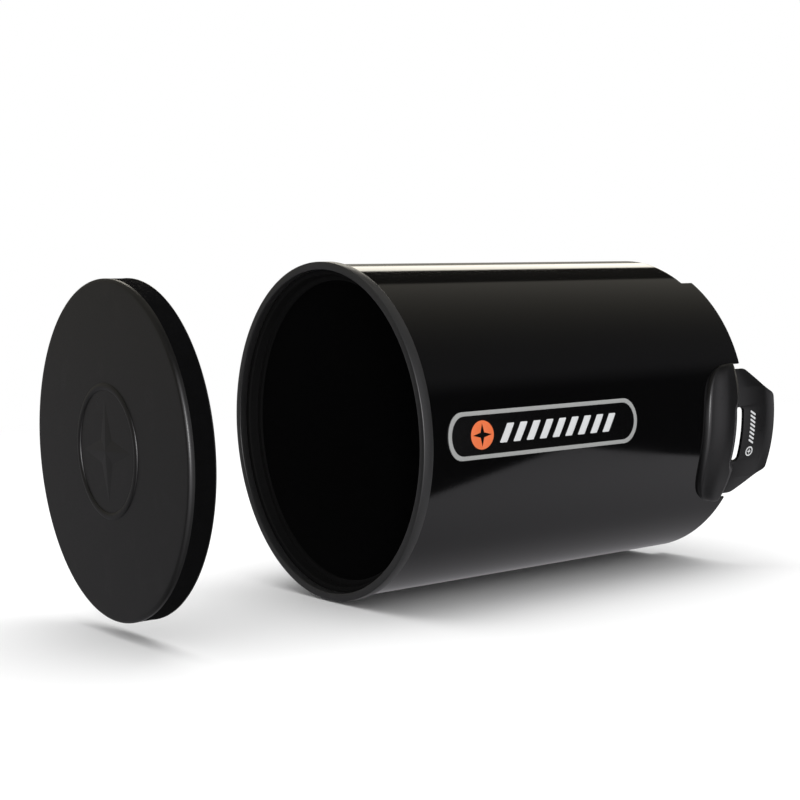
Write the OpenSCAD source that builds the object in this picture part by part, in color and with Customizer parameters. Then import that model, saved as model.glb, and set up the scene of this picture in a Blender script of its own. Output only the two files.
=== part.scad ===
// Dew shield with a plug-in cover cap for an 8-inch class telescope.
// X runs along the tube, from the open sky end (-X) to the telescope end (+X). Z is up.
// The origin is on the tube's axis, at the rear end of the seat that grips the telescope's front cell.

/* [Tube] */
// Outer radius of the rolled aluminium tube
tube_r = 122; // [110:0.5:160]
// Thickness of the tube wall
tube_wall = 1.8; // [1.2:0.1:2.4]
// Length from the front trim ring's face to the rear rim
tube_len = 321; // [280:1:420]
// Distance from the rear rim to the rear end of the cell seat
seat_inset = 49; // [46:1:60]

/* [Front ring and cap socket] */
// Length of the trim ring's outer flange
ring_flange_len = 8; // [6:0.5:12]
// Thickness of the trim ring's outer flange
ring_flange_t = 2; // [1.5:0.1:3]
// Thickness of the trim ring's front face
ring_face_t = 1.5; // [1:0.1:2.5]
// Inner radius of the trim ring, as a share of the tube's outer radius
ring_bore_share = 0.97; // [0.96:0.005:0.975]
// Length of the trim ring's inner flange
ring_inner_len = 5; // [4:0.5:7]

/* [Cap] */
// Outer radius of the cap's plug
cap_r = 114.3; // [112:0.1:115]
// Depth of the cap from its face to the end of its skirt
cap_depth = 19; // [15:0.5:24]
// Thickness of the cap's walls
cap_wall = 2; // [1.6:0.1:3]
// How far the seated cap stands proud of the trim ring
cap_proud = 5; // [3:0.5:8]
// How far in front of its seat the removed cap is drawn
cap_travel = 165; // [60:1:250]
// Radial gap between the cap and its socket
cap_gap = 0.4; // [0.3:0.1:0.8]

/* [Cell seat] */
// Radius of the seat that slides over the telescope's front cell
seat_r = 116.5; // [114:0.1:116.5]
// Length of the seat
seat_len = 34; // [25:1:45]

/* [Rear notches] */
// Angle of the near catch, from the side that faces -Y towards the top
catch_angle = -9.8; // [-20:0.1:0]
// Half angle of each catch notch
catch_notch_half = 26.75; // [26:0.05:28]
// Depth of each catch notch, from the rear rim
catch_notch_depth = 10; // [9:0.5:11]
// Half angle of each rail notch
rail_notch_half = 24.25; // [18:0.25:26]
// Depth of each rail notch, from the rear rim
rail_notch_depth = 12.2; // [8:0.2:16]

/* [Catches] */
// Half angle of the tongue at its root
tongue_half = 24.8; // [24:0.1:25.2]
// Thickness of the tongue
tongue_t = 2.9; // [2.4:0.1:3]
// How far the tongue reaches behind the rear rim
tongue_reach = 32.8; // [28:0.2:36]
// Length of the strap slot, measured across the tongue
slot_len = 44; // [38:1:45]
// Width of the strap slot
slot_w = 7.6; // [5:0.1:8]
// Length of the bulged housing along the tube
housing_len = 36.5; // [34:0.5:40]
// Greatest height of the bulged housing above the tube
housing_h = 6.9; // [6.8:0.1:8]

/* [Badge] */
// Length of the badge along the tube
badge_len = 178; // [140:1:190]
// Half height of the badge
badge_half_h = 16.6; // [14:0.2:20]
// Distance from the front face to the front end of the badge
badge_inset = 21.4; // [18:0.2:40]
// Width of the badge's raised border
badge_border_w = 3; // [2:0.1:4]

/* [Hidden] */

big_fn = 180;
small_fn = 32;
eps = 1;

// Stations along the tube
x_rear = seat_inset;
x_front = x_rear - tube_len;
bore_r = tube_r - tube_wall;

// Front ring, socket and cap
ring_r = tube_r + ring_flange_t;
ring_bore = tube_r * ring_bore_share;
socket_start = ring_face_t + ring_inner_len + 0.2;
socket_r = cap_r + cap_gap;
socket_lip = 4.2;
socket_lip_t = 2;
socket_end = cap_depth - cap_proud + cap_gap + socket_lip_t;
cap_face_x = x_front - cap_proud - cap_travel;
cap_edge_r = 2.5;
cap_band_t = 1;
cap_band_inset = 4;
cap_band_end = 1;
medallion_r = 0.4 * cap_r;
medallion_t = 1.2;

// Felt parts and the stop ring
felt_t = 1.2;
stop_t = 3;
stop_bore = seat_r - 3;
stop_relief = 0.5;
liner_gap = 0.3;

// Rear edge and catches: the catch frame has x along the tube, y outwards and z across the catch
catches = [catch_angle, catch_angle + 180];
rails = [catch_angle + 90, catch_angle + 270];
notch_x = x_rear - catch_notch_depth;
tongue_r = tube_r - 0.1;
tongue_root_x = notch_x + 1;
tongue_end_x = x_rear + tongue_reach;
tongue_shoulder_x = x_rear + 4.3;
tongue_tip_half = 14.7;
tongue_corner_r = 5;
lip_len = 10;
lip_rise = 1.8;
slot_x = notch_x + 0.9 + slot_w / 2;
hinge_x = notch_x - 2;
hinge_drop = 2.4;
hinge_y = tube_r - hinge_drop;
pin_r = 1;
pin_gap = 0.05;
lug_r = 2.6;
ear_z = [[23.3, 25.3], [31.9, 33.9]];
lug_z = [25.7, 28];
spring_z = [28.4, 31.5];
spring_wire_r = 0.31;
spring_turns = 5;
spring_leg = [1.28, -1.0];
pocket_z = [22.6, 34.6];
pocket_len = 6;
pocket_top = hinge_y + lug_r + 0.5;
housing_half_z = tube_r * sin(27.3);
screw_spots = [[14, 9], [14, -9], [27, 19.5], [27, -19.5]];
screw_r = 1.45;
screw_len = 7.6;
screw_head_r = 2.8;
screw_head_t = 1.3;
plate_t = 1.4;
plate_half = 24;
plate_span = [5, 31];
pad_t = 1.6;
pad_half = 15;
pad_span = [x_rear + 4, x_rear + 27];

// Badge
badge_angle = -0.2;
badge_field_t = 0.6;
badge_border_t = 1;
badge_motif_t = 0.4;
badge_x = x_front + badge_inset + badge_len / 2;
roundel_r = 10;
roundel_x = badge_x - badge_len / 2 + 29.5;
bar_count = 9;
bar_pitch = 12.2;
bar_w = 6.4;
bar_half_h = 6.6;
bar_slant = 3.6;
bars_start = roundel_x + roundel_r + 9;

// ---- Shared shapes ----

// A plain ring round the tube's axis
module ring_x(x0, x1, r_out, r_in) {
  translate([x0, 0, 0]) rotate([0, 90, 0]) difference() {
    cylinder(h = x1 - x0, r = r_out, $fn = big_fn);
    translate([0, 0, -eps]) cylinder(h = x1 - x0 + 2 * eps, r = r_in, $fn = big_fn);
  }
}

// Spins a profile of [radius, x] points round the tube's axis
module spin_x(profile) {
  rotate([0, 90, 0]) rotate_extrude($fn = big_fn) polygon(profile);
}

// Places a shape drawn in the catch frame at an angle round the tube
module at_angle(angle) {
  rotate([180 - angle, 0, 0]) children();
}

// Pushes an [x, z] outline outwards through the tube wall, in the catch frame
module outward(reach = 40, start = 100) {
  translate([0, start + reach, 0]) rotate([90, 0, 0]) linear_extrude(height = reach) children();
}

// A wedge through the tube wall, in the catch frame
module wedge(x0, x1, half) {
  far = tube_r + 20;
  near = 60;
  translate([x0, 0, 0]) rotate([0, 90, 0]) rotate([0, 0, 90]) linear_extrude(height = x1 - x0)
    polygon([[near, -near * tan(half)], [far, -far * tan(half)], [far, far * tan(half)], [near, near * tan(half)]]);
}

function unit(v) = v / norm(v);

// The arc that rounds corner b of the path a, b, c
function corner(a, b, c, r, steps = 6) =
  let(
    u = unit(a - b),
    v = unit(c - b),
    half = acos(u * v) / 2,
    centre = b + unit(u + v) * r / sin(half),
    from = b + u * r / tan(half) - centre,
    to = b + v * r / tan(half) - centre,
    start = atan2(from[1], from[0]),
    turn = (atan2(to[1], to[0]) - start + 540) % 360 - 180
  )
  [for (i = [0:steps]) centre + r * [cos(start + turn * i / steps), sin(start + turn * i / steps)]];

// A closed outline with every corner rounded by its own radius
function rounded(points, radii) =
  let(n = len(points))
  [for (i = [0:n - 1]) each corner(points[(i + n - 1) % n], points[i], points[(i + 1) % n], radii[i])];

// A half outline with a straight rear edge and a full, rounded front, about [x, 0]
function blunt_half(x, length, half_w, power, steps = 28) =
  [for (i = [0:steps])
    let(t = -1 + 2 * i / steps)
    [x - length * pow(1 - pow(abs(sin(90 * t)), power), 1 / power), half_w * sin(90 * t)]];

// A long outline with elliptical ends, about [x, 0]
function long_oval(x, length, half_w, end_len, steps = 14) =
  concat(
    [for (i = [0:steps]) let(a = 90 + 180 * i / steps) [x - length / 2 + end_len + end_len * cos(a), half_w * sin(a)]],
    [for (i = [0:steps]) let(a = -90 + 180 * i / steps) [x + length / 2 - end_len + end_len * cos(a), half_w * sin(a)]]
  );

// A star with four points
function star(centre, r_out, r_in) =
  [for (i = [0:7]) centre + (i % 2 == 0 ? r_out : r_in) * [cos(45 * i), sin(45 * i)]];

// ---- Tube, ring and liners ----

// Screw holes from inside the tube out to a given radius
module screw_holes(r, angle, end_r) {
  at_angle(angle) for (spot = screw_spots)
    rotate([spot[1], 0, 0]) translate([spot[0], bore_r - 10, 0]) rotate([-90, 0, 0])
      cylinder(h = end_r - bore_r + 10, r = r, $fn = small_fn);
}

module hinge_pockets() {
  for (side = [-1, 1])
    translate([notch_x - pocket_len, 90, side > 0 ? pocket_z[0] : -pocket_z[1]])
      cube([pocket_len + eps, 50, pocket_z[1] - pocket_z[0]]);
}

module tube_shell() {
  color([0.05, 0.05, 0.055]) difference() {
    ring_x(x_front + ring_face_t, x_rear, tube_r, bore_r);
    for (angle = catches) at_angle(angle) {
      wedge(notch_x, x_rear + eps, catch_notch_half);
      hinge_pockets();
    }
    for (angle = rails) at_angle(angle) wedge(x_rear - rail_notch_depth, x_rear + eps, rail_notch_half);
    for (angle = catches) screw_holes(screw_r + 0.25, angle, tube_r + eps);
  }
}

module front_trim_ring() {
  face_end = x_front + ring_face_t;
  color([0.1, 0.1, 0.105]) spin_x([
    [ring_bore, x_front],
    [ring_r - 0.6, x_front],
    [ring_r, x_front + 0.6],
    [ring_r, x_front + ring_flange_len],
    [tube_r, x_front + ring_flange_len],
    [tube_r, face_end],
    [bore_r, face_end],
    [bore_r, face_end + ring_inner_len],
    [ring_bore, face_end + ring_inner_len]
  ]);
}

module cap_socket_ring() {
  lip_x = x_front + socket_end - socket_lip_t;
  color([0.03, 0.03, 0.03]) spin_x([
    [bore_r, x_front + socket_start],
    [bore_r, x_front + socket_end],
    [socket_r - socket_lip, x_front + socket_end],
    [socket_r - socket_lip, lip_x],
    [socket_r, lip_x],
    [socket_r, x_front + socket_start + 0.8],
    [socket_r + 0.8, x_front + socket_start]
  ]);
}

module felt_liner() {
  color([0.02, 0.02, 0.02])
    ring_x(x_front + socket_end + liner_gap, -seat_len - stop_t - liner_gap, bore_r, bore_r - felt_t);
}

module cell_stop_ring() {
  face_r = seat_r - 0.2;
  color([0.08, 0.08, 0.08]) spin_x([
    [stop_bore, -seat_len - stop_t],
    [bore_r, -seat_len - stop_t],
    [bore_r, -seat_len - stop_relief],
    [face_r, -seat_len - stop_relief],
    [face_r, -seat_len],
    [stop_bore, -seat_len]
  ]);
}

module cell_seat_felt() {
  color([0.03, 0.03, 0.03]) ring_x(-seat_len, 0, bore_r, seat_r);
}

// ---- Badge ----

// A skin of thickness t that starts at radius r, cut to an outline
module skin(r, t, x0, x1) {
  intersection() {
    ring_x(x0, x1, r + t, r);
    outward() children();
  }
}

module badge_skin(r, t) {
  at_angle(badge_angle) skin(r, t, x_front, -10) children();
}

module badge_outline(inset = 0) {
  polygon(long_oval(badge_x, badge_len - 2 * inset, badge_half_h - inset, 12.5 - inset / 2));
}

module badge_plate() {
  color([0.02, 0.02, 0.02]) badge_skin(tube_r, badge_field_t) badge_outline(badge_border_w);
}

module badge_border() {
  color([0.5, 0.5, 0.5]) badge_skin(tube_r, badge_border_t) difference() {
    badge_outline();
    badge_outline(badge_border_w);
  }
}

module badge_roundel() {
  color([0.95, 0.45, 0.2]) badge_skin(tube_r + badge_field_t, badge_motif_t) difference() {
    translate([roundel_x, 0]) circle(r = roundel_r, $fn = 64);
    polygon(star([roundel_x, 0], 0.82 * roundel_r, 0.24 * roundel_r));
  }
}

module badge_bars() {
  color([0.8, 0.8, 0.8]) badge_skin(tube_r + badge_field_t, badge_motif_t) for (i = [0:bar_count - 1]) {
    x = bars_start + i * bar_pitch;
    polygon([
      [x - bar_slant, bar_half_h],
      [x + bar_slant, -bar_half_h],
      [x + bar_slant + bar_w, -bar_half_h],
      [x - bar_slant + bar_w, bar_half_h]
    ]);
  }
}

// ---- Cap ----

module cap_shell() {
  rim_x = cap_face_x + cap_depth;
  arc = [for (i = [0:8])
    [cap_r - cap_edge_r + cap_edge_r * sin(11.25 * i), cap_face_x + cap_edge_r - cap_edge_r * cos(11.25 * i)]];
  color([0.09, 0.09, 0.09]) spin_x(concat(
    [[0, cap_face_x]],
    arc,
    [
      [cap_r, cap_face_x + cap_band_inset],
      [cap_r - cap_band_t, cap_face_x + cap_band_inset],
      [cap_r - cap_band_t, rim_x - cap_band_end],
      [cap_r, rim_x - cap_band_end],
      [cap_r, rim_x],
      [cap_r - cap_wall - cap_band_t, rim_x],
      [cap_r - cap_wall - cap_band_t, cap_face_x + cap_wall],
      [0, cap_face_x + cap_wall]
    ]
  ));
}

module cap_felt_band() {
  color([0.03, 0.03, 0.03])
    ring_x(cap_face_x + cap_band_inset, cap_face_x + cap_depth - cap_band_end, cap_r, cap_r - cap_band_t);
}

module cap_medallion() {
  x0 = cap_face_x - medallion_t;
  color([0.12, 0.12, 0.12]) union() {
    ring_x(x0, cap_face_x, medallion_r, medallion_r - 5);
    translate([x0, 0, 0]) rotate([0, 90, 0]) linear_extrude(height = medallion_t)
      polygon(star([0, 0], medallion_r - 9, 0.26 * medallion_r));
  }
}

// ---- Catches ----

module housing(angle) {
  start = notch_x - housing_len;
  heights = [
    [0, 0], [0, 0.17], [0.04, 0.46], [0.15, 0.75], [0.32, 0.94], [0.53, 1], [0.76, 0.96],
    [0.91, 0.87], [0.97, 0.67], [1, 0.36], [1, 0]
  ];
  color([0.12, 0.12, 0.125]) difference() {
    at_angle(angle) {
      difference() {
        intersection() {
          spin_x([for (p = heights) [tube_r + housing_h * p[1], start + housing_len * p[0]]]);
          outward() polygon(blunt_half(notch_x, housing_len, housing_half_z, 3));
        }
        for (side = [-1, 1])
          translate([notch_x - pocket_len + 0.4, 90, side > 0 ? ear_z[0][1] : -ear_z[1][0]])
            cube([pocket_len + eps, pocket_top - 90, ear_z[1][0] - ear_z[0][1]]);
        hinge_bore(pin_r, 20, 36);
      }
      for (side = [-1, 1], span = ear_z) difference() {
        union() {
          translate([hinge_x, hinge_y, side > 0 ? span[0] : -span[1]])
            cylinder(h = span[1] - span[0], r = lug_r - 0.4, $fn = small_fn);
          translate([hinge_x - lug_r + 0.4, hinge_y, side > 0 ? span[0] : -span[1]])
            cube([2 * lug_r - 0.8, pocket_top - hinge_y + 0.2, span[1] - span[0]]);
        }
        hinge_bore(pin_r, 20, 36);
      }
    }
    screw_holes(screw_r, angle, bore_r - plate_t + screw_len + 0.3);
  }
}

// Holes for both hinge pins, in the catch frame
module hinge_bore(r, z0, z1) {
  for (side = [-1, 1])
    translate([hinge_x, hinge_y, side > 0 ? z0 : -z1]) cylinder(h = z1 - z0, r = r, $fn = small_fn);
}

module backing_plate(angle) {
  color([0.5, 0.5, 0.52]) difference() {
    at_angle(angle) intersection() {
      ring_x(plate_span[0], plate_span[1], bore_r, bore_r - plate_t);
      wedge(plate_span[0], plate_span[1], plate_half);
    }
    screw_holes(screw_r + 0.25, angle, bore_r + eps);
  }
}

module screws(angle) {
  head_r = bore_r - plate_t;
  color([0.6, 0.6, 0.6]) at_angle(angle) for (spot = screw_spots)
    rotate([spot[1], 0, 0]) translate([spot[0], head_r, 0]) rotate([-90, 0, 0]) difference() {
      union() {
        cylinder(h = screw_len, r = screw_r, $fn = small_fn);
        translate([0, 0, -screw_head_t]) cylinder(h = screw_head_t, r = screw_head_r, $fn = small_fn);
      }
      translate([0, 0, -screw_head_t - 0.2]) cylinder(h = 1, r = 1.1, $fn = 6);
    }
}

module hinge_pins(angle) {
  color([0.7, 0.7, 0.7]) at_angle(angle) hinge_bore(pin_r, ear_z[0][0], ear_z[1][1]);
}

// Two torsion springs, each a close-wound coil with one leg on the housing and one on the tongue
module springs(angle) {
  coil_r = pin_r + 0.35 + spring_wire_r;
  pitch = (spring_z[1] - spring_z[0] - 2 * spring_wire_r) / (spring_turns - 1);
  color([0.6, 0.6, 0.62]) at_angle(angle) for (side = [-1, 1])
    translate([hinge_x, hinge_y, side * spring_z[0]]) {
      for (i = [0:spring_turns - 1])
        translate([0, 0, side * (spring_wire_r + i * pitch)]) rotate_extrude($fn = small_fn)
          translate([coil_r, 0]) circle(r = pitch / 2 + 0.01, $fn = 16);
      translate([0, coil_r, side * spring_wire_r]) rotate([0, -90, 0])
        cylinder(h = 2.8, r = spring_wire_r, $fn = 16);
      translate([spring_leg[0], spring_leg[1], side * (spring_z[1] - spring_z[0] - spring_wire_r)])
        rotate([0, 90, 0]) cylinder(h = 3, r = spring_wire_r, $fn = 16);
    }
}

module tongue(angle) {
  root_z = tube_r * sin(tongue_half);
  tip_z = tube_r * sin(tongue_tip_half);
  outline = rounded(
    [
      [tongue_root_x, -root_z], [tongue_shoulder_x, -root_z], [tongue_end_x, -tip_z],
      [tongue_end_x, tip_z], [tongue_shoulder_x, root_z], [tongue_root_x, root_z]
    ],
    [0.6, 2 * tongue_corner_r, tongue_corner_r, tongue_corner_r, 2 * tongue_corner_r, 0.6]
  );
  inner_r = tongue_r - tongue_t;
  lip_x = tongue_end_x - lip_len;
  color([0.1, 0.1, 0.105]) at_angle(angle) difference() {
    union() {
      intersection() {
        spin_x([
          [inner_r, tongue_root_x],
          [tongue_r, tongue_root_x],
          [tongue_r, lip_x],
          [tongue_r + 0.2 * lip_rise, lip_x + 0.4 * lip_len],
          [tongue_r + 0.6 * lip_rise, lip_x + 0.75 * lip_len],
          [tongue_r + lip_rise, tongue_end_x],
          [inner_r + 0.5 * lip_rise, tongue_end_x],
          [inner_r, lip_x + 0.5 * lip_len]
        ]);
        outward() polygon(outline);
      }
      for (side = [-1, 1]) {
        translate([hinge_x, hinge_y, side > 0 ? lug_z[0] : -lug_z[1]])
          cylinder(h = lug_z[1] - lug_z[0], r = lug_r, $fn = small_fn);
        translate([hinge_x, hinge_y - lug_r, side > 0 ? lug_z[0] : -lug_z[1]])
          cube([tongue_root_x - hinge_x + 2, 2, lug_z[1] - lug_z[0]]);
      }
    }
    outward() translate([slot_x, 0]) {
      square([slot_w, slot_len - slot_w], center = true);
      for (side = [-1, 1]) translate([0, side * (slot_len - slot_w) / 2]) circle(d = slot_w, $fn = small_fn);
    }
    hinge_bore(pin_r + pin_gap, lug_z[0] - eps, lug_z[1] + eps);
  }
}

module grip_pad(angle) {
  inner_r = tongue_r - tongue_t;
  half_z = tube_r * sin(pad_half);
  x0 = pad_span[0];
  x1 = pad_span[1];
  color([0.03, 0.03, 0.03]) at_angle(angle) skin(inner_r - pad_t, pad_t, x0, x1)
    polygon(rounded([[x0, -half_z], [x1, -half_z], [x1, half_z], [x0, half_z]], [3, 3, 3, 3]));
}

module near_housing() housing(catches[0]);
module near_backing_plate() backing_plate(catches[0]);
module near_screws() screws(catches[0]);
module near_hinge_pins() hinge_pins(catches[0]);
module near_springs() springs(catches[0]);
module near_tongue() tongue(catches[0]);
module near_grip_pad() grip_pad(catches[0]);
module far_housing() housing(catches[1]);
module far_backing_plate() backing_plate(catches[1]);
module far_screws() screws(catches[1]);
module far_hinge_pins() hinge_pins(catches[1]);
module far_springs() springs(catches[1]);
module far_tongue() tongue(catches[1]);
module far_grip_pad() grip_pad(catches[1]);

tube_shell();
front_trim_ring();
cap_socket_ring();
felt_liner();
cell_stop_ring();
cell_seat_felt();
badge_plate();
badge_border();
badge_roundel();
badge_bars();
cap_shell();
cap_felt_band();
cap_medallion();
near_housing();
near_backing_plate();
near_screws();
near_hinge_pins();
near_springs();
near_tongue();
near_grip_pad();
far_housing();
far_backing_plate();
far_screws();
far_hinge_pins();
far_springs();
far_tongue();
far_grip_pad();
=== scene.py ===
"""Looks of a telescope dew shield: glossy tube, satin trim ring, plug cap, badge and two sprung rear catches."""

import math

import bmesh
import bpy
from bpy.props import FloatProperty, FloatVectorProperty, IntProperty, PointerProperty
from bpy.types import Operator, Panel, PropertyGroup
from mathutils import Matrix, Vector, noise


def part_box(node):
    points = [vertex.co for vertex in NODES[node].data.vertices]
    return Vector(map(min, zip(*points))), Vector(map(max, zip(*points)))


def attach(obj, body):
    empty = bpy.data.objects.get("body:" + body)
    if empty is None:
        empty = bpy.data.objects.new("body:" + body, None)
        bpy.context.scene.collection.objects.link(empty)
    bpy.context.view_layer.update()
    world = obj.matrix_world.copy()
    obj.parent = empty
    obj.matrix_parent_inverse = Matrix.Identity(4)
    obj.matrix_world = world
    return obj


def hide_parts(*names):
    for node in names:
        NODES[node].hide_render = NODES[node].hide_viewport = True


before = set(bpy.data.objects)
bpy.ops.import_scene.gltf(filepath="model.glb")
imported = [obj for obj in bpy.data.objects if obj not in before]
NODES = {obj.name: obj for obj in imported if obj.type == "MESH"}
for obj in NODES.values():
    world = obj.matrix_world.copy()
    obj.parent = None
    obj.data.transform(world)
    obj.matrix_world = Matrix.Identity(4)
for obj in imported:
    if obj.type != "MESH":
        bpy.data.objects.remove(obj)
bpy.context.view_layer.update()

bl_info = {
    "name": "Telescope Dew Shield",
    "version": (1, 0, 0),
    "blender": (4, 5, 0),
    "location": "View3D > Sidebar > Dew Shield",
    "description": "Builds the visible pieces and finishes of a telescope dew shield with a cover cap",
    "category": "Object",
}

MM = 0.001

TUBE_LOW, TUBE_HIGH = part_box("tube_shell")
RING_LOW, RING_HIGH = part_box("front_trim_ring")
CAP_LOW, CAP_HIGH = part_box("cap_shell")
BAND_LOW, BAND_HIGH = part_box("cap_felt_band")
MEDAL_LOW, MEDAL_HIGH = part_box("cap_medallion")
BORDER_LOW, BORDER_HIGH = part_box("badge_border")
ROUNDEL_LOW, ROUNDEL_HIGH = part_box("badge_roundel")
BARS_LOW, BARS_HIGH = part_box("badge_bars")
TONGUE_LOW, TONGUE_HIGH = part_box("near_tongue")
HOUSING_LOW, HOUSING_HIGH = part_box("near_housing")
PAD_LOW, PAD_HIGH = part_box("near_grip_pad")

TUBE_R = -TUBE_LOW.y
RING_R = RING_HIGH.z
FRONT_X = RING_LOW.x
REAR_X = TUBE_HIGH.x


# ---- Sizes and colours that a user would change ----


def length(name, description, value):
    return FloatProperty(name=name, description=description, default=value, min=0, unit="LENGTH")


def angle(name, description, degrees):
    return FloatProperty(name=name, description=description, default=math.radians(degrees), subtype="ANGLE")


def colour(name, description, value):
    return FloatVectorProperty(
        name=name, description=description, default=value, min=0, max=1, size=3, subtype="COLOR"
    )


def share(name, description, value, top=1.0):
    return FloatProperty(name=name, description=description, default=value, min=0, max=top)


class TubeSizes(PropertyGroup):
    """The rolled tube and its trim ring"""

    wall: length("Wall", "Thickness of the tube", 1.8 * MM)
    edge: length("Edge", "Radius on the tube's cut edges", 0.35 * MM)
    ring_bore: length("Ring bore", "Inner radius of the trim ring", 0.97 * TUBE_R)
    ring_face: length("Ring face", "Thickness of the trim ring's face", 1.5 * MM)
    ring_inner: length("Ring lip", "Length of the ring's inner flange", 5 * MM)
    ring_edge: length("Ring edge", "Radius on the trim ring's edges", 0.7 * MM)
    catch_angle: angle("Catch angle", "Angle of the near catch below the middle of the side", -9.8)
    catch_half: angle("Catch notch", "Half angle of a catch notch", 26.75)
    catch_depth: length("Catch notch depth", "Depth of a catch notch from the rear rim", 10 * MM)
    rail_half: angle("Rail notch", "Half angle of a rail notch", 24.25)
    rail_depth: length("Rail notch depth", "Depth of a rail notch from the rear rim", 12.2 * MM)


class CapSizes(PropertyGroup):
    """The cover cap"""

    wall: length("Wall", "Thickness of the cap", 2 * MM)
    edge: length("Edge", "Radius between the cap's face and its skirt", 2.4 * MM)
    band: length("Band", "Thickness of the felt band", 1 * MM)
    medal_ring: length("Medallion ring", "Width of the medallion's raised ring", 5 * MM)
    medal_gap: length("Medallion gap", "Gap between the ring and the star's points", 4 * MM)


class BadgeSizes(PropertyGroup):
    """The side badge"""

    angle: angle("Badge angle", "Angle of the badge from the middle of the side", -0.2)
    border: length("Border", "Width of the raised border", 3 * MM)
    end: length("End", "Depth of the badge's rounded ends", 12.5 * MM)
    field: length("Field", "Thickness of the badge's black field", 0.6 * MM)
    rim: length("Rim", "Thickness of the badge's border", 1 * MM)
    motif: length("Motif", "Height of the roundel and bars above the field", 0.4 * MM)
    bars: IntProperty(name="Bars", description="Number of slanted bars", default=9, min=1, max=20)


class CatchSizes(PropertyGroup):
    """The two rear catches"""

    skin: length("Skin drop", "How far the tongue lies under the tube's surface", 0.1 * MM)
    thickness: length("Thickness", "Thickness of the tongue", 2.9 * MM)
    edge: length("Edge", "Radius on the tongue's edges", 0.8 * MM)
    shoulder: length("Shoulder", "How far the tongue's straight sides pass the rear rim", 4.3 * MM)
    root_half: angle("Root", "Half angle of the tongue's root", 24.8)
    tip_half: angle("Tip", "Half angle of the tongue's tip", 14.7)
    corner: length("Corner", "Radius of the tongue's corners", 5 * MM)
    slot_length: length("Slot length", "Length of the strap slot", 44 * MM)
    slot_width: length("Slot width", "Width of the strap slot", 7.6 * MM)
    lip: length("Lip", "Length of the tongue's raised lip", 10 * MM)
    lip_rise: length("Lip rise", "Height of the lip", 1.8 * MM)
    housing_half: angle("Housing", "Half angle of the bulged housing", 26.8)
    housing_height: length("Housing height", "Height of the bulged housing", 6.9 * MM)
    pad: length("Pad", "Thickness of the rubber grip pad", 1.6 * MM)


class Finishes(PropertyGroup):
    """Colours of the finishes"""

    tube: colour("Tube", "Gloss black coat", (0.0009, 0.0009, 0.001))
    trim: colour("Trim", "Satin trim ring", (0.019, 0.019, 0.0195))
    cap: colour("Cap", "Satin cap moulding", (0.0035, 0.0034, 0.0033))
    catch: colour("Catch", "Catch moulding", (0.0024, 0.0024, 0.0026))
    felt: colour("Felt", "Black felt", (0.0016, 0.0016, 0.0018))
    field: colour("Badge field", "Badge black", (0.0009, 0.0009, 0.001))
    silver: colour("Silver", "Badge border", (0.33, 0.335, 0.33))
    white: colour("White", "Badge bars and the catch's print", (0.66, 0.67, 0.68))
    orange: colour("Orange", "Badge roundel", (0.80, 0.16, 0.04))


class Studio(PropertyGroup):
    """Camera and light"""

    offset: FloatVectorProperty(
        name="Camera", description="Camera from the front ring's centre, in tube radii", default=(-4.812, -7.396, 0.6945)
    )
    azimuth: angle("Azimuth", "Heading of the camera, from +Y towards +X", 36.14)
    dip: angle("Dip", "How far the camera looks down", 3.37)
    roll: angle("Roll", "Camera roll", -2.01)
    lens: FloatProperty(name="Lens", description="Focal length in millimetres", default=66.42, min=10, max=300)
    floor_gap: length("Floor gap", "Gap between the tube's lowest point and the floor", 1 * MM)


class DewShieldSettings(PropertyGroup):
    """All settings of the dew shield"""

    tube: PointerProperty(type=TubeSizes)
    cap: PointerProperty(type=CapSizes)
    badge: PointerProperty(type=BadgeSizes)
    catch: PointerProperty(type=CatchSizes)
    finish: PointerProperty(type=Finishes)
    studio: PointerProperty(type=Studio)


def settings():
    return bpy.context.scene.dew_shield


# ---- Shader building ----


class Value:
    """A shader socket that adds Math nodes when it is used in a sum."""

    def __init__(self, shader, socket):
        self.shader = shader
        self.socket = socket

    def maths(self, operation, *values):
        node = self.shader.node("ShaderNodeMath", {"operation": operation}, dict(enumerate(values)))
        return Value(self.shader, node.outputs[0])

    def __add__(self, other):
        return self.maths("ADD", self, other)

    def __radd__(self, other):
        return self.maths("ADD", other, self)

    def __sub__(self, other):
        return self.maths("SUBTRACT", self, other)

    def __rsub__(self, other):
        return self.maths("SUBTRACT", other, self)

    def __mul__(self, other):
        return self.maths("MULTIPLY", self, other)

    def __rmul__(self, other):
        return self.maths("MULTIPLY", other, self)

    def __pow__(self, other):
        return self.maths("POWER", self, other)

    def ramp(self, low, high):
        """0 below low, 1 above high and smooth between them."""
        node = self.shader.node(
            "ShaderNodeMapRange", {"interpolation_type": "SMOOTHSTEP"}, {0: self, 1: low, 2: high}
        )
        return Value(self.shader, node.outputs[0])


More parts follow.
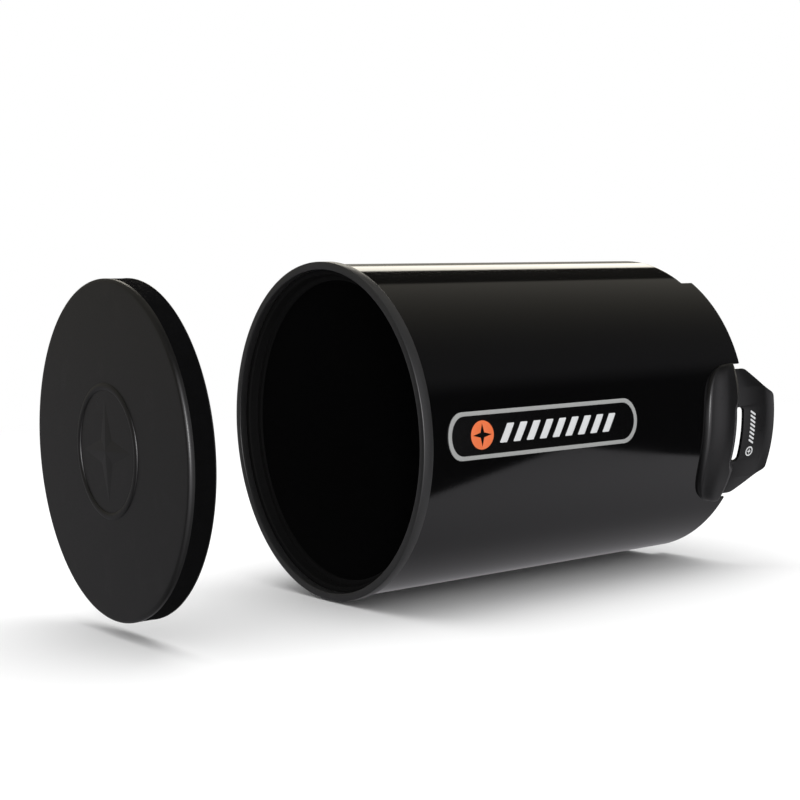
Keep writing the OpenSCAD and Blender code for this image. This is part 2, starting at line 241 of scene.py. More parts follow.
class Shader:
    """A material or world's node tree, with one method that adds any node."""

    def __init__(self, owner):
        owner.use_nodes = True
        self.tree = owner.node_tree
        self.tree.nodes.clear()

    def node(self, kind, sets=None, values=None):
        node = self.tree.nodes.new(kind)
        for name, value in (sets or {}).items():
            setattr(node, name, value)
        for key, value in (values or {}).items():
            socket = node.inputs[key]
            if isinstance(value, Value):
                self.tree.links.new(value.socket, socket)
            elif isinstance(value, bpy.types.NodeSocket):
                self.tree.links.new(value, socket)
            else:
                socket.default_value = value
        return node

    def place(self):
        return self.node("ShaderNodeTexCoord").outputs["Object"]

    def noise(self, scale, detail=3.0, roughness=0.5, place=None):
        node = self.node(
            "ShaderNodeTexNoise",
            None,
            {"Vector": place or self.place(), "Scale": scale, "Detail": detail, "Roughness": roughness},
        )
        return Value(self, node.outputs["Fac"])

    def stretched(self, scale):
        """Object coordinates stretched along an axis, for drawn and brushed grain."""
        return self.node("ShaderNodeMapping", None, {"Vector": self.place(), "Scale": scale}).outputs[0]

    def cells(self, scale, feature="F1"):
        node = self.node("ShaderNodeTexVoronoi", {"feature": feature}, {"Vector": self.place(), "Scale": scale})
        return Value(self, node.outputs["Distance"])

    def mix(self, factor, first, second):
        """A blend of two colours."""
        node = self.node("ShaderNodeMix", {"data_type": "RGBA"}, {0: factor, 6: paint(first), 7: paint(second)})
        return node.outputs[2]

    def bump(self, height, strength, distance):
        return self.node(
            "ShaderNodeBump", None, {"Height": height, "Strength": strength, "Distance": distance}
        ).outputs[0]


def paint(value):
    """A colour with its alpha, or a link passed on."""
    if isinstance(value, bpy.types.NodeSocket):
        return value
    return (*value, 1.0)


def scaled(value, factor):
    return tuple(min(1.0, channel * factor) for channel in value)


def surface(name, build):
    """Makes a material whose Principled inputs come from build(shader)."""
    material = bpy.data.materials.new(name)
    shader = Shader(material)
    values = build(shader)
    principled = shader.node("ShaderNodeBsdfPrincipled", None, values)
    shader.node("ShaderNodeOutputMaterial", None, {"Surface": principled.outputs[0]})
    return material


def edge_wear(shader, width=0.6 * MM):
    """1 on convex edges and 0 on flat faces, from the angle between a bevelled and the true normal."""
    bevel = shader.node("ShaderNodeBevel", {"samples": 4}, {"Radius": width}).outputs[0]
    true = shader.node("ShaderNodeNewGeometry").outputs["Normal"]
    dot = shader.node("ShaderNodeVectorMath", {"operation": "DOT_PRODUCT"}, {0: bevel, 1: true})
    return 1 - Value(shader, dot.outputs["Value"]).ramp(0.8, 0.995)


def gloss_coat(base):
    """Gloss black powder coat: faint orange peel, a little dust and hairline marks."""

    def build(shader):
        peel = shader.noise(420, 2.0)
        haze = shader.noise(9, 4.0, 0.6).ramp(0.45, 0.75)
        dust = shader.noise(900, 1.0).ramp(0.7, 0.78)
        hair = shader.noise(1, 3.0, 0.5, shader.stretched((160, 900, 900))).ramp(0.6, 0.72)
        return {
            "Base Color": shader.mix(dust * 0.12, base, scaled(base, 9)),
            "Roughness": 0.055 + haze * 0.035 + hair * 0.03 + dust * 0.1,
            "IOR": 1.5,
            "Normal": shader.bump(peel + hair * 0.3, 0.05, 0.05 * MM),
        }

    return build


def satin_moulding(base, roughness=0.42, grain=1500, depth=0.25, shine=0.5):
    """Satin plastic with a fine moulded grain and slightly polished high spots."""

    def build(shader):
        pits = shader.cells(grain)
        cloud = shader.noise(14, 4.0, 0.6)
        rub = shader.noise(55, 3.0).ramp(0.55, 0.8)
        return {
            "Base Color": shader.mix(cloud, scaled(base, 0.88), scaled(base, 1.14)),
            "Roughness": roughness + pits * 0.1 - rub * 0.06,
            "IOR": 1.5,
            "Specular IOR Level": shine,
            "Normal": shader.bump(pits + shader.noise(grain * 0.5, 2.0) * 0.5, depth, 0.06 * MM),
        }

    return build


def felt(base):
    """Flocked felt: short matted fibres over a soft nap."""

    def build(shader):
        fibres = shader.noise(1700, 4.0, 0.7)
        nap = shader.noise(130, 5.0, 0.65)
        lint = shader.noise(620, 2.0).ramp(0.68, 0.76)
        return {
            "Base Color": shader.mix(nap * 0.6 + lint * 0.4, scaled(base, 0.6), scaled(base, 2.0)),
            "Roughness": 1.0,
            "Specular IOR Level": 0.05,
            "Normal": shader.bump(fibres + nap * 0.7, 0.9, 0.4 * MM),
        }

    return build


def print_ink(base, roughness=0.3):
    """Printed enamel with a very slight tooth."""

    def build(shader):
        tooth = shader.noise(900, 2.0)
        cloud = shader.noise(60, 3.0)
        return {
            "Base Color": shader.mix(cloud, scaled(base, 0.94), scaled(base, 1.05)),
            "Roughness": roughness + tooth * 0.08,
            "Normal": shader.bump(tooth, 0.1, 0.03 * MM),
        }

    return build


def rubber(base):
    """Matt rubber with a bloom of dust."""

    def build(shader):
        bloom = shader.noise(40, 5.0, 0.65).ramp(0.4, 0.8)
        grain = shader.noise(1300, 2.0)
        return {
            "Base Color": shader.mix(bloom * 0.5, base, scaled(base, 2.4)),
            "Roughness": 0.75 + bloom * 0.12,
            "Normal": shader.bump(grain, 0.3, 0.08 * MM),
        }

    return build


def bare_metal(base, roughness, stretch):
    """Bare metal with drawn or brushed grain."""

    def build(shader):
        grain = shader.noise(1, 4.0, 0.6, shader.stretched(stretch))
        stain = shader.noise(70, 4.0, 0.6)
        return {
            "Base Color": shader.mix(stain, scaled(base, 0.8), base),
            "Metallic": 1.0,
            "Roughness": roughness + grain * 0.16 + stain * 0.06,
            "Normal": shader.bump(grain, 0.15, 0.04 * MM),
        }

    return build


def make_finishes():
    colours = settings().finish
    felt_black = tuple(colours.felt)
    recipes = {
        "gloss_black_coat": gloss_coat(tuple(colours.tube)),
        "satin_trim": satin_moulding(tuple(colours.trim), 0.3, 1800, 0.12),
        # painted shade: the inner rings take the trim colour darkened to 8 %, standing in for the shade inside the tube
        "matt_moulding_painted_shade": satin_moulding(scaled(tuple(colours.trim), 0.08), 0.75, 1400, 0.25, 0.15),
        "flocked_felt": felt(felt_black),
        "badge_field": print_ink(tuple(colours.field), 0.12),
        "silver_print": print_ink(tuple(colours.silver), 0.34),
        "white_print": print_ink(tuple(colours.white), 0.32),
        "orange_print": print_ink(tuple(colours.orange), 0.32),
        "cap_moulding": satin_moulding(tuple(colours.cap), 0.3, 1500, 0.12),
        "catch_moulding": satin_moulding(tuple(colours.catch), 0.28, 2000, 0.08),
        "grip_rubber": rubber((0.012, 0.012, 0.012)),
        "brushed_aluminium": bare_metal((0.62, 0.62, 0.64), 0.32, (900, 60, 900)),
        "plated_steel": bare_metal((0.52, 0.52, 0.54), 0.24, (700, 700, 700)),
        "spring_wire": bare_metal((0.34, 0.34, 0.36), 0.3, (300, 300, 1500)),
    }
    for name, build in recipes.items():
        if name not in bpy.data.materials:
            surface(name, build)


def finish(name):
    if name not in bpy.data.materials:
        make_finishes()
    return bpy.data.materials[name]


def coat_node(node, name):
    """Gives a carried-over CAD node a finish in all its slots."""
    slots = NODES[node].material_slots
    for slot in slots:
        slot.material = finish(name)
    if not slots:
        NODES[node].data.materials.append(finish(name))


# ---- Outlines: lists of (x, z) points, z running up round the tube ----


def arc(centre, radius, start, end, steps):
    """Points on an arc, with its angles in degrees."""
    turns = [math.radians(start + (end - start) * i / steps) for i in range(steps + 1)]
    return [(centre[0] + radius * math.cos(t), centre[1] + radius * math.sin(t)) for t in turns]


def rounded(points, radii, steps=7):
    """A closed outline whose corners are rounded, each by its own radius."""
    outline = []
    for i, radius in enumerate(radii):
        corner = Vector(points[i])
        before = (Vector(points[i - 1]) - corner).normalized()
        after = (Vector(points[(i + 1) % len(points)]) - corner).normalized()
        half = before.angle(after) / 2
        centre = corner + (before + after).normalized() * radius / math.sin(half)
        first = corner + before * radius / math.tan(half) - centre
        last = corner + after * radius / math.tan(half) - centre
        sweep = first.angle_signed(last)
        for k in range(steps + 1):
            turned = Matrix.Rotation(-sweep * k / steps, 2) @ first
            outline.append(tuple(centre + turned))
    return outline


def long_oval(x0, x1, half, end, steps=16):
    """A long outline with elliptical ends."""
    front = [(x0 + end - end * math.cos(a), half * math.sin(a)) for a in half_turn(steps)]
    rear = [(x1 - end + end * math.cos(a), -half * math.sin(a)) for a in half_turn(steps)]
    return front + rear


def half_turn(steps):
    return [-math.pi / 2 + math.pi * i / steps for i in range(steps + 1)]


def star(centre, outer, inner, points=4):
    """A pointed star."""
    outline = []
    for i in range(2 * points):
        radius = inner if i % 2 else outer
        turn = math.pi * i / points
        outline.append((centre[0] + radius * math.cos(turn), centre[1] + radius * math.sin(turn)))
    return outline


# ---- Mesh building ----


def loop_of(bm, outline, height=0.0):
    verts = [bm.verts.new((x, height, z)) for x, z in outline]
    return [bm.edges.new((verts[i - 1], verts[i])) for i in range(len(verts))]


def plate(outline, thickness, edge, holes=(), step=4 * MM, cuts_x=()):
    """A flat plate from y = 0 up to its thickness, cut into strips so that it can be bent, with rounded edges."""
    bm = bmesh.new()
    edges = loop_of(bm, outline)
    for hole in holes:
        edges += loop_of(bm, hole)
    bmesh.ops.triangle_fill(bm, edges=edges, use_beauty=True, use_dissolve=False, normal=(0, 1, 0))
    bmesh.ops.dissolve_limit(bm, angle_limit=0.01, verts=bm.verts[:], edges=bm.edges[:])
    top = bmesh.ops.extrude_face_region(bm, geom=bm.faces[:])["geom"]
    bmesh.ops.translate(bm, verts=[v for v in top if isinstance(v, bmesh.types.BMVert)], vec=(0, thickness, 0))
    bmesh.ops.recalc_face_normals(bm, faces=bm.faces[:])
    if edge:
        round_edges(bm, edge)
    low = min(z for _, z in outline)
    high = max(z for _, z in outline)
    count = max(2, round((high - low) / step))
    for i in range(1, count):
        slice_at(bm, (0, 0, low + (high - low) * i / count), (0, 0, 1))
    for x in cuts_x:
        slice_at(bm, (x, 0, 0), (1, 0, 0))
    return bm


def slice_at(bm, point, normal):
    geom = bm.verts[:] + bm.edges[:] + bm.faces[:]
    bmesh.ops.bisect_plane(bm, geom=geom, plane_co=point, plane_no=normal, dist=0.00001)


def round_edges(bm, radius, segments=2, sharp=40):
    """Bevels every edge that is sharper than an angle in degrees."""
    limit = math.radians(sharp)
    edges = [e for e in bm.edges if len(e.link_faces) == 2 and e.calc_face_angle() > limit]
    bmesh.ops.bevel(
        bm,
        geom=edges,
        offset=radius,
        offset_type="OFFSET",
        segments=segments,
        profile=0.5,
        affect="EDGES",
        material=-1,
        clamp_overlap=True,
    )


def wrap(bm, radius, turn):
    """Bends a flat shape round the tube: y becomes height above the radius and z the arc from an angle."""
    for v in bm.verts:
        x, height, along = v.co
        a = turn + along / radius
        r = radius + height
        v.co = (x, -r * math.cos(a), r * math.sin(a))


def spun(points, steps, closed=True, start=0.0):
    """Spins a line of (x, radius) points right round the tube's axis."""
    bm = bmesh.new()
    verts = [bm.verts.new((x, -r * math.cos(start), r * math.sin(start))) for x, r in points]
    pairs = list(zip(verts, verts[1:]))
    if closed:
        pairs.append((verts[-1], verts[0]))
    edges = [bm.edges.new(pair) for pair in pairs]
    bmesh.ops.spin(
        bm,
        geom=verts + edges,
        cent=(0, 0, 0),
        axis=(1, 0, 0),
        dvec=(0, 0, 0),
        angle=2 * math.pi,
        steps=steps,
        use_merge=True,
        use_duplicate=False,
    )
    bmesh.ops.remove_doubles(bm, verts=bm.verts[:], dist=0.000005)
    bmesh.ops.dissolve_degenerate(bm, edges=bm.edges[:], dist=0.000005)
    return bm


def turn_of(point):
    """Angle round the tube from the -Y side towards the top."""
    return math.atan2(point.z, -point.y)


def apart(first, second):
    """Smallest angle between two directions round the tube."""
    return abs((first - second + math.pi) % (2 * math.pi) - math.pi)


def add_piece(name, bm, material, body, stands_for=(), sharp=35):
    """Turns a bmesh into a piece that rides on a body and stands for its CAD nodes."""
    bmesh.ops.remove_doubles(bm, verts=bm.verts[:], dist=0.000002)
    bmesh.ops.recalc_face_normals(bm, faces=bm.faces[:])
    mesh = bpy.data.meshes.new(name)
    bm.to_mesh(mesh)
    bm.free()
    mesh.shade_smooth()
    mesh.set_sharp_from_angle(angle=math.radians(sharp))
    mesh.materials.append(finish(material))
    piece = bpy.data.objects.new(name, mesh)
    bpy.context.scene.collection.objects.link(piece)
    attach(piece, body)
    if stands_for:
        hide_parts(*stands_for)
    return piece


def catch_turn(side):
    """Angle of the near or far catch round the tube."""
    return settings().tube.catch_angle + (math.pi if side == "far" else 0)


# ---- The pieces ----


class DEWSHIELD_OT_tube(Operator):
    """Make the rolled tube with its rear notches"""

    bl_idname = "dewshield.tube"
    bl_label = "Tube"

    def execute(self, context):
        s = settings().tube
        steps = 1440
        support = 1.2 * MM
        rear_lines = [REAR_X - s.rail_depth, REAR_X - s.catch_depth]
        stations = [FRONT_X + s.ring_face, FRONT_X + s.ring_face + support]
        stations += [rear_lines[0] - support, *rear_lines, REAR_X - support, REAR_X]
        bm = spun([(x, TUBE_R) for x in stations], steps, closed=False, start=s.catch_angle)
        notches = [(s.catch_angle + k * math.pi, s.catch_half, s.catch_depth) for k in range(2)]
        notches += [(s.catch_angle + (k + 0.5) * math.pi, s.rail_half, s.rail_depth) for k in range(2)]
        cut = []
        for face in bm.faces:
            centre = face.calc_center_median()
            for turn, half, depth in notches:
                if centre.x > REAR_X - depth and apart(turn_of(centre), turn) < half:
                    cut.append(face)
        bmesh.ops.delete(bm, geom=cut, context="FACES")
        inner = bmesh.ops.extrude_face_region(bm, geom=bm.faces[:], use_keep_orig=True)["geom"]
        for v in inner:
            if isinstance(v, bmesh.types.BMVert):
                v.co.yz = v.co.yz * (TUBE_R - s.wall) / TUBE_R
        bmesh.ops.recalc_face_normals(bm, faces=bm.faces[:])
        round_edges(bm, s.edge, 2, 50)
        add_piece("tube", bm, "gloss_black_coat", "shield", ["tube_shell"])
        return {"FINISHED"}


class DEWSHIELD_OT_front_ring(Operator):
    """Make the trim ring that wraps the tube's front edge"""

    bl_idname = "dewshield.front_ring"
    bl_label = "Front trim ring"

    def execute(self, context):
        s = settings().tube
        bore = TUBE_R - s.wall
        face = FRONT_X + s.ring_face
        profile = [
            (FRONT_X, s.ring_bore),
            (FRONT_X, RING_R),
            (RING_HIGH.x, RING_R),
            (RING_HIGH.x, TUBE_R),
            (face, TUBE_R),
            (face, bore),
            (face + s.ring_inner, bore),
            (face + s.ring_inner, s.ring_bore),
        ]
        bm = spun(profile, 360)
        bmesh.ops.recalc_face_normals(bm, faces=bm.faces[:])
        round_edges(bm, s.ring_edge, 3, 60)
        add_piece("trim_ring", bm, "satin_trim", "shield", ["front_trim_ring"])
        return {"FINISHED"}


class DEWSHIELD_OT_cap(Operator):
    """Make the plug cap with its felt band and medallion"""

    bl_idname = "dewshield.cap"
    bl_label = "Cover cap"

    def execute(self, context):
        s = settings().cap
        self.shell(s)
        self.band(s)
        self.medallion(s)
        return {"FINISHED"}

    def shell(self, s):
        face = CAP_LOW.x
        rim = CAP_HIGH.x
        radius = CAP_HIGH.z
        inner = radius - s.wall - s.band
        corner = [(face + x, radius + r) for x, r in arc((s.edge, -s.edge), s.edge, 180, 90, 8)]
        hollow = [(face + s.wall + x, inner + r) for x, r in arc((s.wall, -s.wall), s.wall, 90, 180, 6)]
        bm = spun(
            [
                (face, 0),
                (face, radius * 0.4),
                (face, radius - s.edge - 2 * MM),
                *corner,
                (BAND_LOW.x, radius),
                (BAND_LOW.x, radius - s.band),
                (BAND_HIGH.x, radius - s.band),
                (BAND_HIGH.x, radius),
                (rim - 0.4 * MM, radius),
                (rim, radius - 0.4 * MM),
                (rim, inner + 0.4 * MM),
                (rim - 0.4 * MM, inner),
                *hollow,
                (face + s.wall, 0),
            ],
            360,
            closed=False,
        )
        add_piece("cap_dish", bm, "cap_moulding", "cap", ["cap_shell"], 30)

    def band(self, s):
        radius = BAND_HIGH.z
        x0 = BAND_LOW.x + 0.1 * MM
        x1 = BAND_HIGH.x - 0.1 * MM
        rows = 14
        outer = [(x0 + (x1 - x0) * i / rows, radius - 0.12 * MM) for i in range(rows + 1)]
        bm = spun([(x0, radius - s.band), *outer, (x1, radius - s.band)], 720)
        for v in bm.verts:
            if v.co.yz.length > radius - 0.5 * s.band:
                v.co.yz = v.co.yz * (1 + noise.noise(v.co * 900) * 0.0008)
        add_piece("cap_band", bm, "flocked_felt", "cap", ["cap_felt_band"])

    def medallion(self, s):
        radius = MEDAL_HIGH.z
        back = MEDAL_HIGH.x + 0.05 * MM
        top = MEDAL_LOW.x
        inner = radius - s.medal_ring
        width = s.medal_ring / 2
        crown = [(back + (top - back) * math.sin(math.pi * i / 10), radius - width - width * math.cos(math.pi * i / 10))
                 for i in range(11)]
        bm = spun([(back + 0.2 * MM, inner), *crown, (back + 0.2 * MM, radius)], 240)
        add_piece("medallion_ring", bm, "cap_moulding", "cap", ["cap_medallion"], 50)
        points = star((0, 0), inner - s.medal_gap, 0.26 * radius)
        bm = bmesh.new()
        rim = [bm.verts.new((back, y, z)) for y, z in points]
        bm.faces.new(rim)
        poked = bmesh.ops.poke(bm, faces=bm.faces[:], center_mode="MEAN")
        poked["verts"][0].co = (top, 0, 0)
        bmesh.ops.bevel(
            bm,
            geom=[e for e in bm.edges if len(e.link_faces) == 2],
            offset=0.35 * MM,
            offset_type="OFFSET",
            segments=2,
            profile=0.5,
            affect="EDGES",
            material=-1,
            clamp_overlap=True,
        )
        under = bmesh.ops.extrude_face_region(bm, geom=bm.faces[:], use_keep_orig=True)["geom"]
        for v in under:
            if isinstance(v, bmesh.types.BMVert):
                v.co.x = back + 0.3 * MM
        add_piece("medallion_star", bm, "cap_moulding", "cap", sharp=50)


class DEWSHIELD_OT_badge(Operator):
    """Make the side badge with its border, roundel and slanted bars"""

    bl_idname = "dewshield.badge"
    bl_label = "Badge"

    def execute(self, context):
        s = settings().badge
        x0, x1 = BORDER_LOW.x, BORDER_HIGH.x
        half = (BORDER_HIGH.z - BORDER_LOW.z) / 2
        outer = long_oval(x0, x1, half, s.end)
        inner = long_oval(x0 + s.border, x1 - s.border, half - s.border, s.end - s.border / 2)
        self.fix("badge_field_plate", plate(inner, s.field, 0), TUBE_R, "badge_field", "badge_plate", "badge_black")
        border = plate(outer, s.rim, 0.35 * MM, [inner])
        self.fix("badge_rim", border, TUBE_R, "silver_print", "badge_border", "badge_silver")
        self.motif(s)
        return {"FINISHED"}

    def fix(self, name, bm, radius, material, node, slot):
        wrap(bm, radius, settings().badge.angle)
        add_piece(name, bm, material, "shield", [node])

    def motif(self, s):
        face = TUBE_R + s.field
        radius = (ROUNDEL_HIGH.x - ROUNDEL_LOW.x) / 2
        centre = (ROUNDEL_LOW.x + radius, 0)
        disc = arc(centre, radius, 0, 354, 59)
        roundel = plate(disc, s.motif, 0.12 * MM, [star(centre, 0.82 * radius, 0.24 * radius)], 2 * MM)
        self.fix("badge_roundel_disc", roundel, face, "orange_print", "badge_roundel", "badge_orange")
        half = (BARS_HIGH.z - BARS_LOW.z) / 2
        bars = bmesh.new()
        for outline in slanted_bars(BARS_LOW.x, BARS_HIGH.x, half, s.bars):
            bar = plate(outline, s.motif, 0.12 * MM, step=3 * MM)
            join(bars, bar)
        self.fix("badge_bar_row", bars, face, "white_print", "badge_bars", "badge_silver")


def join(bm, other):
    """Adds another bmesh to bm and frees it."""
    mesh = bpy.data.meshes.new("joined")
    other.to_mesh(mesh)
    other.free()
    bm.from_mesh(mesh)
    bpy.data.meshes.remove(mesh)


def slanted_bars(x0, x1, half, count):
    """Outlines of a row of slanted bars that fills a length."""
    slant = 0.55 * half
    pitch = (x1 - x0 - 2 * slant) / (count - 0.475)
    width = 0.525 * pitch
    outlines = []
    for i in range(count):
        x = x0 + i * pitch
        corners = [(x, -half), (x + width, -half), (x + width + 2 * slant, half), (x + 2 * slant, half)]
        outlines.append(rounded(corners, [0.5 * MM] * 4, 3))
    return outlines


class DEWSHIELD_OT_catches(Operator):
    """Make the two rear catches: housing, tongue, grip pad and print"""

    bl_idname = "dewshield.catches"
    bl_label = "Rear catches"

    def execute(self, context):
        for side in ("near", "far"):
            self.housing(side)
            self.tongue(side)
            self.pad(side)
            self.mark(side)
        return {"FINISHED"}

    def housing(self, side):
        s = settings().catch
        x_end = HOUSING_HIGH.x
        span = x_end - HOUSING_LOW.x
        half = TUBE_R * s.housing_half
        bm = bmesh.new()
        bmesh.ops.create_grid(bm, x_segments=56, y_segments=96, size=1)
        top = bm.faces[:]
        under = bmesh.ops.duplicate(bm, geom=top + bm.edges[:] + bm.verts[:])["geom"]
        under = {v for v in under if isinstance(v, bmesh.types.BMVert)}
        for v in bm.verts:
            along, across = (v.co.x + 1) / 2, math.sin(v.co.y * math.pi / 2)
            reach = (1 - abs(across) ** 3) ** (1 / 3)
            x = x_end - span * reach * (1 - along)
            height = 0 if v in under else s.housing_height * bulge(along, across, reach)
            v.co = (x, height, half * across)
        wrap(bm, TUBE_R, catch_turn(side))
        add_piece(f"{side}_bulge", bm, "catch_moulding", "shield", [f"{side}_housing"], 60)

    def tongue(self, side):
        s = settings().catch
        tube = settings().tube
        root = REAR_X - tube.catch_depth + 1 * MM
        shoulder = REAR_X + s.shoulder
        end = TONGUE_HIGH.x
        base = TUBE_R - s.skin - s.thickness
        root_z = s.root_half * base
        tip_z = s.tip_half * base
        slot_z = s.slot_length / 2 * base / TUBE_R
        slot_x = root + s.slot_width
        corners = [(root, -root_z), (shoulder, -root_z), (end, -tip_z), (end, tip_z), (shoulder, root_z)]
        corners += [(root, root_z), (root, slot_z), (slot_x, slot_z), (slot_x, -slot_z), (root, -slot_z)]
        radii = [0.6 * MM, 2 * s.corner, s.corner, s.corner, 2 * s.corner]
        radii += [0.6 * MM, 0.4 * MM, 0.45 * s.slot_width, 0.45 * s.slot_width, 0.4 * MM]
        outline = rounded(corners, radii)
        lip_x = end - s.lip
        cuts = [lip_x + s.lip * k / 8 for k in range(0, 8)]
        bm = plate(outline, s.thickness, s.edge, (), 3 * MM, cuts)
        for v in bm.verts:
            rise = max(0.0, (v.co.x - lip_x) / s.lip)
            v.co.y += s.lip_rise * rise * rise
        wrap(bm, base, catch_turn(side))
        add_piece(f"{side}_tab", bm, "catch_moulding", f"{side}_catch", [f"{side}_tongue"], 40)

    def pad(self, side):
        s = settings().catch
        radius = TUBE_R - s.skin - s.thickness - s.pad
        x0, x1 = PAD_LOW.x, PAD_HIGH.x
        half = math.radians(15) * radius
        corners = [(x0, -half), (x1, -half), (x1, half), (x0, half)]
        bm = plate(rounded(corners, [3 * MM] * 4), s.pad - 0.05 * MM, 0.4 * MM)
        wrap(bm, radius + 0.05 * MM, catch_turn(side))
        add_piece(f"{side}_rubber_pad", bm, "grip_rubber", f"{side}_catch", [f"{side}_grip_pad"])

    def mark(self, side):
        """The small print on the tongue: a ring and slanted bars that run up the tongue."""
        s = settings().catch
        x = REAR_X + 9.2 * MM
        half = 2.9 * MM
        low = -19 * MM
        radius = 4.1 * MM
        centre = (x, low + radius)
        ring = plate(arc(centre, radius, 0, 350, 35), 0.06 * MM, 0, [arc(centre, 0.72 * radius, 0, 350, 35)])
        join(ring, plate(star(centre, 0.62 * radius, 0.2 * radius), 0.06 * MM, 0))
        for outline in slanted_bars(low + 10 * MM, low + 38 * MM, half, 8):
            join(ring, plate([(x - z, along) for along, z in outline], 0.06 * MM, 0, step=2 * MM))
        wrap(ring, TUBE_R - s.skin, catch_turn(side))
        add_piece(f"{side}_print", ring, "white_print", f"{side}_catch")


def smooth(t):
    t = min(1.0, max(0.0, t))
    return t * t * (3 - 2 * t)


def bulge(along, across, reach):
    """Height share of the housing: a steep front, a long rise, and a scoop down to the tongue between two shoulders."""
    nose = min(1.0, along / 0.09)
    front = 0.55 * (1 - (1 - nose) ** 2.3) ** 0.45
    rise = 0.45 * (1 - (1 - smooth((along - 0.03) / 0.62)) ** 1.4)
    ends = min(1.0, 1.04 * reach**0.55)
    full = (front + rise) * ends
    shoulder = smooth((abs(across) - 0.34) / 0.14)
    middle_end = 0.06
    shoulder_end = 0.62 * ends
    fall = smooth((along - 0.7 - 0.08 * shoulder) / (0.3 - 0.08 * shoulder))
    height = full + (middle_end + (shoulder_end - middle_end) * shoulder - full) * fall
    rear = math.sqrt(max(0.0, 1 - max(0.0, (along - 0.95) / 0.05) ** 2))
    return max(0.0, height * rear)


class DEWSHIELD_OT_carried_parts(Operator):
    """Give every carried-over part its finish"""

    bl_idname = "dewshield.carried_parts"
    bl_label = "Linings, screws and springs"

    def execute(self, context):
        plan = {
            # the socket and stop rings inside the tube take the moulding darkened with painted shade
            "cap_socket_ring": "matt_moulding_painted_shade",
            "cell_stop_ring": "matt_moulding_painted_shade",
            "felt_liner": "flocked_felt",
            "cell_seat_felt": "flocked_felt",
        }
        for side in ("near", "far"):
            plan[f"{side}_backing_plate"] = "brushed_aluminium"
            plan[f"{side}_screws"] = "plated_steel"
            plan[f"{side}_hinge_pins"] = "plated_steel"
            plan[f"{side}_springs"] = "spring_wire"
        for node, material in plan.items():
            coat_node(node, material)
        return {"FINISHED"}


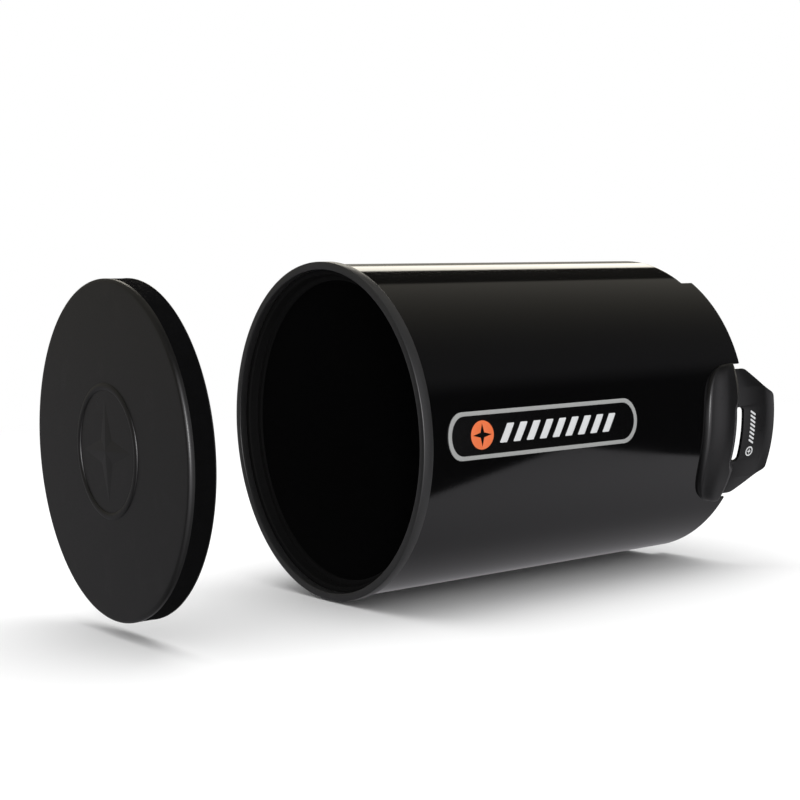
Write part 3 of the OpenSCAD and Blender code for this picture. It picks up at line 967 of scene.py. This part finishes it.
class DEWSHIELD_OT_stage(Operator):
    """Set the pale floor, the soft lights and the camera"""

    bl_idname = "dewshield.stage"
    bl_label = "Stage"

    def execute(self, context):
        scene = context.scene
        scene.view_settings.view_transform = "Standard"
        self.floor(scene)
        self.room(scene)
        self.lights(scene)
        self.camera(scene)
        return {"FINISHED"}

    def floor(self, scene):
        s = settings().studio
        z = -RING_R - s.floor_gap
        bm = bmesh.new()
        bmesh.ops.create_circle(bm, cap_ends=True, segments=96, radius=2.4)
        bmesh.ops.translate(bm, verts=bm.verts[:], vec=(-0.1, 0, z))
        mesh = bpy.data.meshes.new("floor")
        bm.to_mesh(mesh)
        bm.free()
        material = bpy.data.materials.new("pale_floor")
        shader = Shader(material)
        tone = shader.mix(shader.noise(6, 3.0), (0.84, 0.84, 0.84), (0.87, 0.87, 0.87))
        paper = shader.node("ShaderNodeBsdfDiffuse", None, {"Color": tone})
        clear = shader.node("ShaderNodeBsdfTransparent")
        away = shader.node("ShaderNodeVectorMath", {"operation": "LENGTH"}, {0: shader.place()}).outputs["Value"]
        fade = Value(shader, away).ramp(1.2, 2.3)
        mixed = shader.node("ShaderNodeMixShader", None, {0: fade, 1: paper.outputs[0], 2: clear.outputs[0]})
        shader.node("ShaderNodeOutputMaterial", None, {"Surface": mixed.outputs[0]})
        mesh.materials.append(material)
        floor = bpy.data.objects.new("floor", mesh)
        floor.visible_glossy = False
        scene.collection.objects.link(floor)

    def room(self, scene):
        """A white backdrop with even light, and panels that show only as reflections."""
        world = bpy.data.worlds.new("studio")
        world.cycles.sampling_method = "NONE"
        scene.world = world
        shader = Shader(world)
        heading = shader.node("ShaderNodeTexCoord").outputs["Generated"]
        axes = shader.node("ShaderNodeSeparateXYZ", None, {0: heading}).outputs
        x, y, z = (Value(shader, axis) for axis in axes)
        turn = z.maths("ARCTAN2", z, 0 - y) * math.degrees(1)
        slope = (x - 0.675).maths("ABSOLUTE", x - 0.675)
        low_panel = (-21 - 340 * slope - turn).ramp(-1.5, 1.5)
        low_glow = 0.31 + 0.36 * turn.ramp(-100, -36)
        top_gap = turn.ramp(118.5, 122)
        top_glow = turn.ramp(20, 36) * 0.1 + turn.ramp(50, 112) * 0.15
        strip = (turn.ramp(142, 145) * 2.8 - turn.ramp(155, 160) * 2.5) * x.ramp(0.25, 0.45)
        tube_side = 0.03 + low_panel * (low_glow - 0.03) + top_glow * (1 - top_gap) + strip
        tall = x.ramp(0.45, 0.5) + 1.3 * (1 - x.ramp(0.26, 0.34))
        near_side = 0.06 + tall * (0.3 + 1.1 * turn.ramp(-45, 10)) * (1 - turn.ramp(20, 60)) * turn.ramp(-110, -50)
        near_side = near_side + 0.35 * turn.ramp(-60, -20) * (1 - turn.ramp(-15, 15))
        back = 1 - y.ramp(-0.2, 0.2)
        near = (1 - x.ramp(0.49, 0.6)) * back
        edge_side = 0.06 + 1.2 * (1 - turn.ramp(-45, -15))
        far = x.ramp(0.86, 0.94) * back
        glow = tube_side + (near_side - tube_side) * near
        glow = glow + (edge_side - glow) * far
        behind = (1 - x.ramp(0.0, 0.4)) * y.ramp(0.1, 0.5)
        glow = glow + (0.21 - glow) * behind
        warm = turn.ramp(30, 90)
        tint = shader.mix(warm, (0.98, 0.96, 1.0), (1.0, 0.95, 0.83))
        panels = shader.node("ShaderNodeBackground", None, {"Color": tint, "Strength": glow})
        white = shader.node("ShaderNodeBackground", None, {"Color": (1, 1, 1, 1)})
        glossy = shader.node("ShaderNodeLightPath").outputs["Is Glossy Ray"]
        both = shader.node("ShaderNodeMixShader", None, {0: glossy, 1: white.outputs[0], 2: panels.outputs[0]})
        shader.node("ShaderNodeOutputWorld", None, {"Surface": both.outputs[0]})

    def lights(self, scene):
        overhead = self.softbox(scene, "overhead", (0.0, 0.1, 1.9), (2.2, 1.6), 24)
        overhead.visible_glossy = False
        edge = self.softbox(scene, "camera_side", (-1.9, -2.5, 0.5), (0.3, 1.3), 60)
        edge.visible_diffuse = False

    def softbox(self, scene, name, place, size, power):
        data = bpy.data.lights.new(name, "AREA")
        data.shape = "RECTANGLE"
        data.size, data.size_y = size
        data.energy = power
        light = bpy.data.objects.new(name, data)
        light.location = place
        light.rotation_euler = (Vector((-0.1, 0, 0)) - Vector(place)).to_track_quat("-Z", "Y").to_euler()
        scene.collection.objects.link(light)
        return light

    def camera(self, scene):
        s = settings().studio
        data = bpy.data.cameras.new("camera")
        data.lens = s.lens
        data.clip_start = 0.01
        camera = bpy.data.objects.new("camera", data)
        aim = Vector(
            (math.sin(s.azimuth) * math.cos(s.dip), math.cos(s.azimuth) * math.cos(s.dip), -math.sin(s.dip))
        )
        turned = aim.to_track_quat("-Z", "Y").to_matrix() @ Matrix.Rotation(s.roll, 3, "Z")
        place = Vector((FRONT_X, 0, 0)) + TUBE_R * Vector(s.offset)
        camera.matrix_world = Matrix.Translation(place) @ turned.to_4x4()
        scene.collection.objects.link(camera)
        scene.camera = camera


class DEWSHIELD_PT_panel(Panel):
    """Dew shield pieces and settings"""

    bl_idname = "DEWSHIELD_PT_panel"
    bl_label = "Dew Shield"
    bl_space_type = "VIEW_3D"
    bl_region_type = "UI"
    bl_category = "Dew Shield"

    def draw(self, context):
        for operator in OPERATORS:
            self.layout.operator(operator.bl_idname)
        for group in ("tube", "cap", "badge", "catch", "finish", "studio"):
            box = self.layout.box()
            box.label(text=group.capitalize())
            values = getattr(settings(), group)
            for name in values.__annotations__:
                box.prop(values, name)


GROUPS = [TubeSizes, CapSizes, BadgeSizes, CatchSizes, Finishes, Studio, DewShieldSettings]
OPERATORS = [
    DEWSHIELD_OT_tube,
    DEWSHIELD_OT_front_ring,
    DEWSHIELD_OT_cap,
    DEWSHIELD_OT_badge,
    DEWSHIELD_OT_catches,
    DEWSHIELD_OT_carried_parts,
    DEWSHIELD_OT_stage,
]


def register():
    for item in GROUPS + OPERATORS + [DEWSHIELD_PT_panel]:
        bpy.utils.register_class(item)
    bpy.types.Scene.dew_shield = PointerProperty(type=DewShieldSettings)


def unregister():
    del bpy.types.Scene.dew_shield
    for item in reversed(GROUPS + OPERATORS + [DEWSHIELD_PT_panel]):
        bpy.utils.unregister_class(item)


def main():
    register()
    bpy.ops.dewshield.tube()
    bpy.ops.dewshield.front_ring()
    bpy.ops.dewshield.cap()
    bpy.ops.dewshield.badge()
    bpy.ops.dewshield.catches()
    bpy.ops.dewshield.carried_parts()
    bpy.ops.dewshield.stage()


if __name__ == "__main__":
    main()
